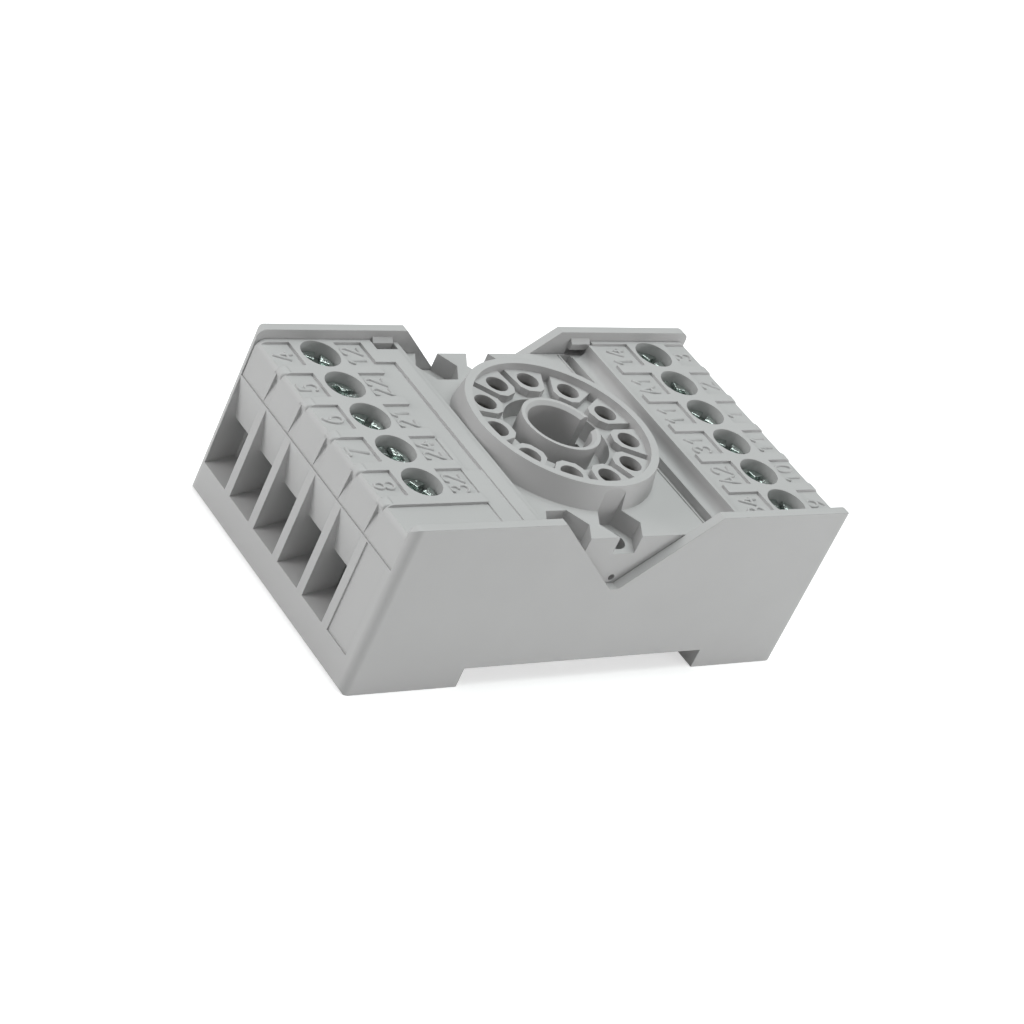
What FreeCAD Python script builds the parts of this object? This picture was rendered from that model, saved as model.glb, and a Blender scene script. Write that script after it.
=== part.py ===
import FreeCAD, Part
import math
import os
import re

import Sketcher

# An eleven pin relay socket for a 35 mm rail or a panel: two mouldings, eleven captive clamp screws with
# their cages, eleven bars with their contact sleeves, and the sprung rail latch.
# Millimetres, +Z up. The origin lies on the plane of the feet, under the middle of the pin circle.
# +X points to the block with six terminals, and +Y to the side wall beside terminals 3 and 4.

doc = FreeCAD.newDocument("relay_socket")
sheet = doc.addObject("Spreadsheet::Sheet", "Sizes")

SIZES = {
    # Plan: terminals, walls and ends
    "terminal_pitch": 6.05,
    "terminal_reach": 26.2,
    "row_margin": 2.875,
    "end_margin": 7.55,
    "wall_sheet": 1.2,
    "corner_radius": 1.2,
    "top_corner_radius": 1.1,
    "foot_chamfer": 0.5,
    # Levels of the mouldings, each counted up from the one before
    "deck_level": 11.2,
    "parting_rise": 6.2,
    "platform_rise": 3.2,
    "block_rise": 2.0,
    "rim_rise": 1.3,
    "mould_clearance": 0.05,
    # V notches of the side walls, for the retaining clip
    "notch_half_width": 12.2,
    "notch_drop": 10.2,
    "notch_floor_half": 0.65,
    "pivot_hole_radius": 0.45,
    "pivot_hole_depth": 1.5,
    "pivot_hole_level": 14.5,
    # Slot for the rail, and its fixed claws
    "rail_slot_left": 17.2,
    "rail_slot_right": 19.8,
    "rail_slot_depth": 2.8,
    "claw_reach": 1.4,
    "claw_sheet": 1.2,
    "claw_width": 4.0,
    "claw_offset": 9.0,
    "claw_foot_gap": 0.3,
    # Terminal chambers and wire entries
    "chamber_width": 4.8,
    "chamber_outer": 3.7,
    "chamber_inner": 4.5,
    "entry_sill": 4.4,
    "sill_rise": 1.0,
    "lintel_ledge": 2.2,
    "lintel_margin": 0.2,
    "panel_recess": 0.2,
    "panel_border": 0.8,
    # Screw blocks with their label fields
    "block_end_inset": 0.15,
    "block_edge_radius": 1.2,
    "left_block_edge": 13.1,
    "left_ledge": 1.1,
    "right_block_edge": 16.5,
    "right_lip": 0.5,
    "foot_cove": 1.2,
    "left_label_edge": 19.1,
    "right_label_edge": 18.4,
    "label_recess": 0.35,
    "label_rib": 1.55,
    "label_band_inner": 3.1,
    "label_band_outer": 3.3,
    "blank_margin": 2.15,
    # Shallow flutes in the end faces of the blocks, one under each rib
    "flute_drop": 0.7,
    "flute_belly_drop": 2.0,
    "flute_depth": 0.45,
    "flute_half_top": 0.35,
    "flute_half_bottom": 0.6,
    # Recess for a label strip beside the left label fields
    "strip_edge": 16.2,
    "strip_width": 2.2,
    "strip_far_end": 13.5,
    "strip_step": 1.0,
    "strip_near_end": 7.0,
    "strip_margin_recess": 0.17,
    "well_radius": 2.55,
    "ledge_sheet": 0.75,
    # Snap noses on the side walls, and their seats in the upper moulding
    "snap_reach": 15.6,
    "snap_width": 3.0,
    "snap_depth": 0.55,
    "snap_drop": 1.0,
    "snap_height": 1.4,
    "snap_window_depth": 0.7,
    "snap_seat_gap": 0.3,
    "snap_seat_depth": 0.9,
    "snap_seat_depth_far_left": 1.9,
    # Round head with the pin towers
    "pin_circle": 9.525,
    "rim_inner": 11.55,
    "rim_wall": 1.05,
    "rim_taper": 0.6,
    "trench_drop": 1.2,
    "tower_drop": 1.0,
    "plinth_face": 6.9,
    "plinth_drop": 1.0,
    "tower_face": 7.25,
    "tower_gap": 1.15,
    "tower_chamfer": 0.7,
    "tower_bite": 0.2,
    "entry_radius": 1.45,
    "entry_sheet": 1.2,
    "hub_bore": 4.2,
    "hub_wall": 0.95,
    "hub_drop": 0.4,
    "hub_bevel": 0.45,
    "key_width": 2.3,
    # Platform slot, nut pockets and panel screw holes
    "groove_edge": 12.95,
    "groove_width": 1.8,
    "groove_end_gap": 0.3,
    "groove_depth": 1.0,
    "groove_lip_width": 0.2,
    "groove_lip_rise": 0.15,
    "panel_hole_spacing": 30.8,
    "panel_hole_radius": 1.7,
    "nut_flats": 5.5,
    "nut_depth": 2.5,
    "nut_offset": 7.9,
    # Terminal screws
    "head_sink": 2.1,
    "head_height": 1.5,
    "head_radius": 2.35,
    "head_bevel": 0.25,
    "head_clearance": 0.05,
    "shank_radius": 1.45,
    "shank_clearance": 0.2,
    "tip_gap": 0.05,
    "slot_width": 0.7,
    "slot_depth": 0.8,
    "cross_width": 0.9,
    "cross_length": 2.9,
    # Clamp cages
    "cage_length": 6.4,
    "cage_play": 0.1,
    "cage_wall": 0.7,
    "cage_base_sheet": 0.8,
    "cage_top_sheet": 1.2,
    "cage_floor_gap": 0.2,
    "cage_bar_gap": 0.6,
    "thread_clearance": 0.05,
    # Bars and contact sleeves
    "bar_sheet": 0.8,
    "bar_clearance": 0.1,
    "bar_play": 0.1,
    "bar_end_gap": 0.2,
    "bar_tongue_end": 19.5,
    "bar_strap_width": 2.2,
    "bar_knee_radius": 12.2,
    "bar_eye_radius": 2.2,
    "clip_outer": 1.55,
    "clip_wall": 0.35,
    "clip_clearance": 0.2,
    "clip_top_gap": 0.3,
    "clip_slit": 0.5,
    "clip_root": 3.0,
    # Rail latch
    "latch_width": 10.0,
    "latch_sheet": 1.3,
    "latch_play": 0.15,
    "latch_floor": 0.6,
    "latch_nose_reach": 2.8,
    "latch_nose_sheet": 0.9,
    "latch_end_gap": 0.4,
    "latch_travel": 2.0,
    "stop_offset": 6.2,
    "stop_radius": 1.0,
    "stop_play": 0.3,
}

for row, (alias, size) in enumerate(SIZES.items(), start=1):
    sheet.set(f"A{row}", alias.replace("_", " "))
    sheet.set(f"B{row}", str(size))
    sheet.setAlias(f"B{row}", alias)

PINS = 11
ROWS = 6
# Pin number at each terminal, counted from the far wall
LEFT_PINS = (4, 5, 6, 7, 8)
RIGHT_PINS = (3, 2, 1, 11, 10, 9)
# How far a cutting solid runs past the face that it opens, and a short overlap of joined solids
PAST = 2
NUDGE = 0.2
# Each screw head stands at its own angle, as it was left by its last turn
HEAD_TURN_STEP = 37

UPRIGHT = FreeCAD.Vector(0, 0, 1)

# Places that follow from the sizes, as formulas
INNER_FACE = f"({(ROWS - 1) / 2} * terminal_pitch + row_margin)"
OUTER_FACE = f"({INNER_FACE} + wall_sheet)"
END_FACE = "(terminal_reach + end_margin)"
PARTING = "(deck_level + parting_rise)"
PLATFORM = f"({PARTING} + platform_rise)"
BLOCK_TOP = f"({PLATFORM} + block_rise)"
WALL_TOP = f"({BLOCK_TOP} + rim_rise)"
CHAMBER_FLOOR = "(entry_sill + sill_rise)"
CHAMBER_INNER = "(terminal_reach - chamber_inner)"
CHAMBER_OUTER = "(terminal_reach + chamber_outer)"
BAR_TOP = "(deck_level + bar_sheet)"
CORE_BOTTOM = f"({BAR_TOP} + bar_clearance)"
CORE_FACE = f"({INNER_FACE} - mould_clearance)"
BLOCK_END = f"({END_FACE} - block_end_inset)"
LABEL_FLOOR = f"({BLOCK_TOP} - label_recess)"
HEAD_TOP = f"({BLOCK_TOP} - head_sink)"
HEAD_UNDERSIDE = f"({HEAD_TOP} - head_height)"
LEDGE_TOP = f"({HEAD_UNDERSIDE} - head_clearance)"
LEDGE_BOTTOM = f"({LEDGE_TOP} - ledge_sheet)"
TRENCH = f"({PLATFORM} - trench_drop)"
TOWER_TOP = f"({WALL_TOP} - tower_drop)"
PLINTH_TOP = f"({TOWER_TOP} - plinth_drop)"
HUB_TOP = f"({WALL_TOP} - hub_drop)"
ENTRY_SHOULDER = f"({TOWER_TOP} - entry_sheet)"
NUT_FLOOR = f"({PLATFORM} - nut_depth)"
RIM_OUTER = "(rim_inner + rim_wall)"
RIM_FOOT = f"({RIM_OUTER} + rim_taper)"
HUB_OUTER = "(hub_bore + hub_wall)"
SNAP_BOTTOM = f"({PLATFORM} + snap_drop)"
CAGE_HALF_WIDTH = "(chamber_width / 2 - cage_play)"
CAGE_BOTTOM = f"({CHAMBER_FLOOR} + cage_floor_gap)"
CAGE_PLATE = f"({BAR_TOP} + cage_bar_gap)"
CAGE_TOP = f"({CAGE_PLATE} + cage_top_sheet)"
STOP_AXIS = "(rail_slot_right + stop_offset)"
LATCH_ROOF = "(latch_floor + latch_sheet + 2 * latch_play)"


def row_y(row):
    """Where a terminal's mid-line lies, for its row counted from the far wall."""
    return f"({(ROWS - 1) / 2 - row} * terminal_pitch)"


def pin_turn(pin):
    """A pin's angle round the hub from +X, in degrees. The keyway lies midway between pins 11 and 1."""
    return f"({pin - 0.5} * 360 / {PINS})"


def on_ray(pin, radius):
    """The point at a radius on a pin's ray."""
    return f"({radius} * cos({pin_turn(pin)}))", f"({radius} * sin({pin_turn(pin)}))"


def terminals():
    """Each terminal's side, row and pin number."""
    for side, pins in ((-1, LEFT_PINS), (1, RIGHT_PINS)):
        for row, pin in enumerate(pins):
            yield side, row, pin


def side_span(side, inner, outer):
    """The span between two distances from the middle, on one side of it."""
    return (f"-{outer}", f"-{inner}") if side < 0 else (inner, outer)


def corner_name(x_side, y_side):
    """The plain name of one of the four corners."""
    return f"{'left' if x_side < 0 else 'right'}_{'near' if y_side < 0 else 'far'}"


def block_rows(last_row):
    """The span of a block's label fields along Y, from the last row's near edge to the first row's far edge."""
    half = "(terminal_pitch - label_rib) / 2"
    return f"{row_y(last_row)} - {half}", f"{row_y(0)} + {half}"


def tie(thing, formulas):
    """Binds properties of a document object to formulas of the sizes in the sheet."""
    for target, formula in formulas.items():
        cells = re.sub(r"[a-z]\w+", lambda word: f"Sizes.{word[0]}" if word[0] in SIZES else word[0], formula)
        thing.setExpression(target, cells)


def turned(axis, degrees):
    """A placement at the origin, turned about an axis. An angle bound later needs the axis set first."""
    return FreeCAD.Placement(FreeCAD.Vector(0, 0, 0), FreeCAD.Rotation(axis, degrees))


def box(name, x_span, y_span, z_span):
    """A box between six planes, given as three spans."""
    solid = doc.addObject("Part::Box", name)
    for axis, side, (low, high) in zip("xyz", ("Length", "Width", "Height"), (x_span, y_span, z_span)):
        tie(solid, {f"Placement.Base.{axis}": f"{low}", side: f"({high}) - ({low})"})
    return solid


def rod(name, x, y, radius, z_span):
    """An upright cylinder between two levels."""
    solid = doc.addObject("Part::Cylinder", name)
    low, high = z_span
    tie(solid, {"Radius": radius, "Height": f"({high}) - ({low})"})
    tie(solid, {"Placement.Base.x": f"{x}", "Placement.Base.y": f"{y}", "Placement.Base.z": f"{low}"})
    return solid


def roller(name, x, radius, z):
    """A cylinder along Y that is longer than the socket is wide."""
    solid = doc.addObject("Part::Cylinder", name)
    solid.Placement = turned(FreeCAD.Vector(1, 0, 0), 90)
    tie(solid, {"Radius": radius, "Height": f"2 * ({OUTER_FACE} + {2 * PAST})"})
    tie(solid, {"Placement.Base.x": x, "Placement.Base.y": f"{OUTER_FACE} + {2 * PAST}", "Placement.Base.z": z})
    return solid


def fused(name, solids):
    """Several solids joined to one shape."""
    union = doc.addObject("Part::MultiFuse", name)
    union.Shapes = solids
    return union


def cut(name, base, tools):
    """A solid less the tools that shape it."""
    difference = doc.addObject("Part::Cut", name)
    difference.Base = base
    difference.Tool = fused(f"{name}_tools", tools) if len(tools) > 1 else tools[0]
    return difference


def outline(body, name, plane, corners, lift="0"):
    """A closed sketch of straight lines on a plane of the body, each corner held by two formulas."""
    sketch = body.newObject("Sketcher::SketchObject", name)
    support = next(feature for feature in body.Origin.OriginFeatures if feature.Role == plane)
    sketch.AttachmentSupport = [(support, "")]
    sketch.MapMode = "FlatFace"
    tie(sketch, {"AttachmentOffset.Base.z": lift})
    count = len(corners)
    turns = [2 * math.pi * number / count for number in range(count)]
    ring = [FreeCAD.Vector(math.cos(turn), math.sin(turn), 0) for turn in turns]
    for number in range(count):
        sketch.addGeometry(Part.LineSegment(ring[number], ring[(number + 1) % count]), False)
    for number in range(count):
        sketch.addConstraint(Sketcher.Constraint("Coincident", number, 2, (number + 1) % count, 1))
    for number, corner in enumerate(corners):
        for kind, start, formula in zip(("DistanceX", "DistanceY"), ring[number], corner):
            place = sketch.addConstraint(Sketcher.Constraint(kind, -1, 1, number, 1, start))
            label = f"corner_{number}_{kind[-1]}"
            sketch.renameConstraint(place, label)
            tie(sketch, {f"Constraints.{label}": formula})
    return sketch


def circle(body, name, radius, lift="0"):
    """A circle about the body's own Z axis, at a level."""
    sketch = body.newObject("Sketcher::SketchObject", name)
    support = next(feature for feature in body.Origin.OriginFeatures if feature.Role == "XY_Plane")
    sketch.AttachmentSupport = [(support, "")]
    sketch.MapMode = "FlatFace"
    tie(sketch, {"AttachmentOffset.Base.z": lift})
    sketch.addGeometry(Part.Circle(FreeCAD.Vector(0, 0, 0), FreeCAD.Vector(0, 0, 1), 1), False)
    sketch.addConstraint(Sketcher.Constraint("Coincident", 0, 3, -1, 1))
    place = sketch.addConstraint(Sketcher.Constraint("Radius", 0, 1))
    sketch.renameConstraint(place, "radius")
    tie(sketch, {"Constraints.radius": radius})
    return sketch


def grow(body, kind, sketch, length=None, side="One side"):
    """Adds a pad, a pocket or a full revolution of a sketch to a body."""
    feature = body.newObject(f"PartDesign::{kind}", f"{sketch.Name}_{kind.lower()}")
    feature.Profile = sketch
    if kind == "Revolution":
        feature.ReferenceAxis = (sketch, ["V_Axis"])
        feature.Angle = 360
    else:
        feature.SideType = side
        tie(feature, {"Length": length})
    return feature


def prism(name, plane, corners, length, side="Symmetric", lift="0"):
    """A body with one padded outline."""
    body = doc.addObject("PartDesign::Body", name)
    grow(body, "Pad", outline(body, f"{name}_outline", plane, corners, lift), length, side)
    return body


def edges_along(shape, axis):
    """The numbered straight edges of a shape that run along an axis."""
    return [(number, edge) for number, edge in enumerate(shape.Edges, start=1)
            if abs(getattr(edge.tangentAt(edge.FirstParameter), axis)) > 0.9]


def rounded(body, numbers, radius):
    """Rounds numbered edges of a body's last feature."""
    tip = body.Tip
    feature = body.newObject("PartDesign::Fillet", f"{body.Name}_rounding")
    feature.Base = (tip, [f"Edge{number}" for number in numbers])
    tie(feature, {"Radius": radius})
    return body


# The lower moulding: a tub with the terminal chambers, the wire entries and the foot for the rail

def tub_blank():
    """The tub's outer block with its upright corners rounded."""
    corners = [(f"{x}{END_FACE}", f"{y}{OUTER_FACE}") for x, y in (("-", "-"), ("", "-"), ("", ""), ("-", ""))]
    body = prism("tub_blank", "XY_Plane", corners, WALL_TOP, "One side")
    doc.recompute()
    return rounded(body, [number for number, edge in edges_along(body.Shape, "z")], "corner_radius")


def top_corner(side):
    """Takes off the corner above a round of the walls' top ends."""
    x, z = f"{side} * ({END_FACE} - top_corner_radius)", f"({WALL_TOP} - top_corner_radius)"
    name = "left" if side < 0 else "right"
    corner = box(f"top_corner_{name}", side_span(side, f"({END_FACE} - top_corner_radius)", f"({END_FACE} + {PAST})"),
                 (f"-{OUTER_FACE} - {PAST}", f"{OUTER_FACE} + {PAST}"), (z, f"{WALL_TOP} + {PAST}"))
    return cut(f"top_round_{name}", corner, [roller(f"top_roller_{name}", x, "top_corner_radius", z)])


def wire_entry(side, row):
    """The funnel in the end wall in front of one chamber. The first one reaches the side wall."""
    mid = row_y(row)
    corners = [
        (f"{side} * ({END_FACE} + {PAST})", f"entry_sill - {PAST} * sill_rise / (end_margin - chamber_outer)"),
        (f"{side} * ({CHAMBER_OUTER} - {NUDGE})", CHAMBER_FLOOR),
        (f"{side} * ({CHAMBER_OUTER} - {NUDGE})", "deck_level"),
        (f"{side} * ({CHAMBER_OUTER} + lintel_ledge)", "deck_level"),
        (f"{side} * {END_FACE}", f"{PARTING} - lintel_margin"),
        (f"{side} * ({END_FACE} + {PAST})", f"{PARTING} - lintel_margin"),
    ]
    side_name = "left" if side < 0 else "right"
    name = f"wire_entry_{side_name}_{row}"
    low, high = f"{mid} - chamber_width / 2", f"{mid} + chamber_width / 2"
    if row == 0:
        high = INNER_FACE
    if row == ROWS - 1:
        low = f"-{INNER_FACE}"
    # The sketch plane faces -Y, so the outline is padded from the far side towards the near one.
    return prism(name, "XZ_Plane", corners, f"({high}) - ({low})", "One side", f"-({high})")


def base_housing():
    """The whole lower moulding."""
    tools = [
        box("room_between_walls", (f"-{END_FACE} - {PAST}", f"{END_FACE} + {PAST}"),
            (f"-{INNER_FACE}", INNER_FACE), (PARTING, f"{WALL_TOP} + {PAST}")),
        box("cavity", (f"-{CHAMBER_INNER}", CHAMBER_INNER), (f"-{INNER_FACE}", INNER_FACE),
            ("deck_level", f"{PARTING} + {PAST}")),
        box("rail_slot", ("-rail_slot_left", "rail_slot_right"),
            (f"-{OUTER_FACE} - {PAST}", f"{OUTER_FACE} + {PAST}"), (f"-{PAST}", "rail_slot_depth")),
    ]
    slope = "(notch_half_width - notch_floor_half) / notch_drop"
    reach = f"(notch_half_width + {PAST} * {slope})"
    tools.append(prism("clip_notches", "XZ_Plane", [
        ("-notch_floor_half", f"{WALL_TOP} - notch_drop"),
        ("notch_floor_half", f"{WALL_TOP} - notch_drop"),
        (reach, f"{WALL_TOP} + {PAST}"),
        (f"-{reach}", f"{WALL_TOP} + {PAST}"),
    ], f"2 * ({OUTER_FACE} + {PAST})"))
    for side, row, pin in terminals():
        mid = row_y(row)
        tools.append(box(f"chamber_{pin}", side_span(side, CHAMBER_INNER, CHAMBER_OUTER),
                         (f"{mid} - chamber_width / 2", f"{mid} + chamber_width / 2"),
                         (CHAMBER_FLOOR, f"{PARTING} + {PAST}")))
        tools.append(wire_entry(side, row))
    blank = row_y(ROWS - 1)
    tools.append(box("blank_panel", (f"-{END_FACE} - {PAST}", f"-{END_FACE} + panel_recess"),
                     (f"-{INNER_FACE} + panel_border", f"{blank} + chamber_width / 2"),
                     ("entry_sill", f"{PARTING} - lintel_margin")))
    for side in (-1, 1):
        tools.append(rod(f"panel_hole_{'near' if side < 0 else 'far'}", "0", f"{side} * panel_hole_spacing / 2",
                         "panel_hole_radius", (f"-{PAST}", f"deck_level + {PAST}")))
    tools.append(box("latch_channel", (f"rail_slot_right - {PAST}", f"{END_FACE} + {PAST}"),
                     ("-latch_width / 2 - latch_play", "latch_width / 2 + latch_play"),
                     ("latch_floor", LATCH_ROOF)))
    for side in (-1, 1):
        tools += [foot_chamfer(side), top_corner(side)]
    for x_side in (-1, 1):
        for y_side in (-1, 1):
            name = f"snap_window_{corner_name(x_side, y_side)}"
            tools.append(box(name, side_span(x_side, "(snap_reach - snap_width / 2)", "(snap_reach + snap_width / 2)"),
                             side_span(y_side, f"({INNER_FACE} - {NUDGE})", f"({INNER_FACE} + snap_window_depth)"),
                             (PLATFORM, SNAP_BOTTOM)))
    tub = cut("tub", tub_blank(), tools)

    additions = [tub]
    for x_side in (-1, 1):
        for y_side in (-1, 1):
            additions.append(snap_nose(x_side, y_side))
    for y_side in (-1, 1):
        mid = f"{y_side} * claw_offset"
        additions.append(box(f"rail_claw_{'near' if y_side < 0 else 'far'}",
                             ("-rail_slot_left - claw_reach", "-rail_slot_left + claw_reach"),
                             (f"{mid} - claw_width / 2", f"{mid} + claw_width / 2"),
                             ("claw_foot_gap", "claw_foot_gap + claw_sheet")))
    additions.append(rod("latch_stop", STOP_AXIS, "0", "stop_radius",
                         (f"latch_floor - {NUDGE}", f"{LATCH_ROOF} + {NUDGE}")))
    housing = fused("base_housing", additions)
    housing.Refine = True
    return housing


def foot_chamfer(side):
    """Takes off the foot's lower end edge."""
    corners = [
        (f"{side} * ({END_FACE} + {PAST})", f"-{PAST}"),
        (f"{side} * ({END_FACE} - foot_chamfer - {PAST})", f"-{PAST}"),
        (f"{side} * ({END_FACE} + {PAST})", f"foot_chamfer + {PAST}"),
    ]
    return prism(f"foot_chamfer_{'left' if side < 0 else 'right'}", "XZ_Plane", corners,
                 f"2 * ({OUTER_FACE} + {PAST})")


def snap_nose(x_side, y_side):
    """A wedge on a side wall's inner face: flat below, where it holds the platform down, sloped above."""
    name = f"snap_nose_{corner_name(x_side, y_side)}"
    corners = [
        (f"{y_side} * ({INNER_FACE} + {NUDGE})", SNAP_BOTTOM),
        (f"{y_side} * ({INNER_FACE} - snap_depth)", SNAP_BOTTOM),
        (f"{y_side} * ({INNER_FACE} - snap_depth)", f"{SNAP_BOTTOM} + snap_height - snap_depth"),
        (f"{y_side} * {INNER_FACE}", f"{SNAP_BOTTOM} + snap_height"),
        (f"{y_side} * ({INNER_FACE} + {NUDGE})", f"{SNAP_BOTTOM} + snap_height"),
    ]
    return prism(name, "YZ_Plane", corners, "snap_width", "Symmetric", f"{x_side} * snap_reach")


# The upper moulding: platform, screw blocks and the round head with the pin towers

def screw_block(side, inner_edge):
    """One screw block's full form, before its wells and label fields are sunk. Its outer edge is rounded."""
    name = "left_block" if side < 0 else "right_block"
    corners = [
        (f"{side} * {inner_edge}", PARTING),
        (f"{side} * {BLOCK_END}", PARTING),
        (f"{side} * {BLOCK_END}", BLOCK_TOP),
        (f"{side} * {inner_edge}", BLOCK_TOP),
    ]
    body = prism(name, "XZ_Plane", corners, f"2 * {CORE_FACE}")
    doc.recompute()
    outer = max(edges_along(body.Shape, "y"), key=lambda item: side * item[1].CenterOfMass.x + item[1].CenterOfMass.z)
    return rounded(body, [outer[0]], "block_edge_radius")


def label_tools(side, label_edge, last_row):
    """What sinks the label fields of one block. A rib is left between neighbours."""
    name = "left" if side < 0 else "right"
    rows = block_rows(last_row)
    levels = (LABEL_FLOOR, f"{BLOCK_TOP} + {PAST}")
    fields = [
        box(f"{name}_outer_fields",
            side_span(side, "(terminal_reach + label_band_outer)", f"({END_FACE} + {PAST})"), rows, levels),
        box(f"{name}_inner_fields",
            side_span(side, label_edge, "(terminal_reach - label_band_inner)"), rows, levels),
    ]
    ribs = []
    for row in range(last_row):
        mid = f"{row_y(row)} - terminal_pitch / 2"
        ribs.append(box(f"{name}_rib_{row}",
                        side_span(side, f"({label_edge} - {PAST})", f"({END_FACE} + {2 * PAST})"),
                        (f"{mid} - label_rib / 2", f"{mid} + label_rib / 2"),
                        (PARTING, f"{BLOCK_TOP} + {2 * PAST}")))
    return cut(f"{name}_label_fields", fused(f"{name}_fields", fields), ribs)


def end_flutes(side):
    """The flutes of one end face. Each widens downwards and is deepest at its belly."""
    name = "left" if side < 0 else "right"
    top = f"({BLOCK_TOP} - flute_drop)"
    outside = f"{side} * ({BLOCK_END} + {PAST})"
    hollow = prism(f"{name}_flute_section", "XZ_Plane", [
        (outside, PARTING),
        (outside, top),
        (f"{side} * {BLOCK_END}", top),
        (f"{side} * ({BLOCK_END} - flute_depth)", f"{BLOCK_TOP} - flute_belly_drop"),
        (f"{side} * {BLOCK_END}", PARTING),
    ], f"2 * {CORE_FACE}")
    faces = []
    for row in range(ROWS - 1):
        mid = f"{row_y(row)} - terminal_pitch / 2"
        faces.append(prism(f"{name}_flute_{row}", "YZ_Plane", [
            (f"{mid} - flute_half_bottom", PARTING),
            (f"{mid} + flute_half_bottom", PARTING),
            (f"{mid} + flute_half_top", top),
            (f"{mid} - flute_half_top", top),
        ], f"4 * {PAST}", "Symmetric", f"{side} * {BLOCK_END}"))
    flutes = doc.addObject("Part::MultiCommon", f"{name}_flutes")
    flutes.Shapes = [hollow, fused(f"{name}_flute_faces", faces)]
    return flutes


def strip_tools():
    """The recess for a label strip beside the left label fields, and its shallow margin."""
    top = f"{BLOCK_TOP} + {PAST}"
    return [
        box("label_strip_far", ("-left_label_edge", "-strip_edge"), ("-strip_step", "strip_far_end"),
            (LABEL_FLOOR, top)),
        box("label_strip_near", ("-strip_edge - strip_width", "-strip_edge"),
            ("-strip_near_end", "-strip_step"), (LABEL_FLOOR, top)),
        box("label_strip_margin", ("-left_label_edge", "-strip_edge"),
            (f"-{INNER_FACE} - {PAST}", "-strip_step"), (f"{BLOCK_TOP} - strip_margin_recess", top)),
        box("blank_corner", (f"-{END_FACE} - {PAST}", "-left_label_edge"),
            (f"-{INNER_FACE} - {PAST}", f"{row_y(ROWS - 1)} + blank_margin"), (LABEL_FLOOR, top)),
    ]


def foot_cove():
    """The hollow rounding where the platform meets the right block."""
    corner = box("foot_cove_corner", ("right_block_edge - foot_cove", f"right_block_edge + {NUDGE}"),
                 (f"-{CORE_FACE}", CORE_FACE), (f"{PLATFORM} - {NUDGE}", f"{PLATFORM} + foot_cove"))
    hollow = roller("foot_cove_hollow", "right_block_edge - foot_cove", "foot_cove", f"{PLATFORM} + foot_cove")
    return cut("foot_cove_strip", corner, [hollow])


def contact_head():
    """The collar with its tapered wall and the plinth inside it, and the eleven towers on the plinth."""
    body = doc.addObject("PartDesign::Body", "contact_head")
    grow(body, "Revolution", outline(body, "collar_section", "XZ_Plane", [
        ("plinth_face", TRENCH),
        (RIM_FOOT, TRENCH),
        (RIM_FOOT, PLATFORM),
        (RIM_OUTER, WALL_TOP),
        ("rim_inner", WALL_TOP),
        ("rim_inner", PLINTH_TOP),
        ("plinth_face", PLINTH_TOP),
    ]))
    half_turn = f"(180 / {PINS})"

    def half_width(radius):
        return f"(({radius}) * tan({half_turn}) - tower_gap / 2 / cos({half_turn}))"

    face = "tower_face"
    shoulder = "(tower_face + tower_chamfer)"
    root = "(rim_inner + tower_bite)"
    tower = outline(body, "tower_outline", "XY_Plane", [
        (face, f"tower_chamfer - {half_width(face)}"),
        (shoulder, f"-{half_width(shoulder)}"),
        (root, f"-{half_width(root)}"),
        (root, half_width(root)),
        (shoulder, half_width(shoulder)),
        (face, f"{half_width(face)} - tower_chamfer"),
    ], TRENCH)
    pad = grow(body, "Pad", tower, f"{TOWER_TOP} - {TRENCH}")
    doc.recompute()
    ring = body.newObject("PartDesign::PolarPattern", "tower_ring")
    ring.Originals = [pad]
    ring.Axis = (tower, ["N_Axis"])
    ring.Angle = 360
    ring.Occurrences = PINS
    body.Tip = ring
    body.Placement = turned(UPRIGHT, 1)
    tie(body, {"Placement.Rotation.Angle": half_turn})
    return body


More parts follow.
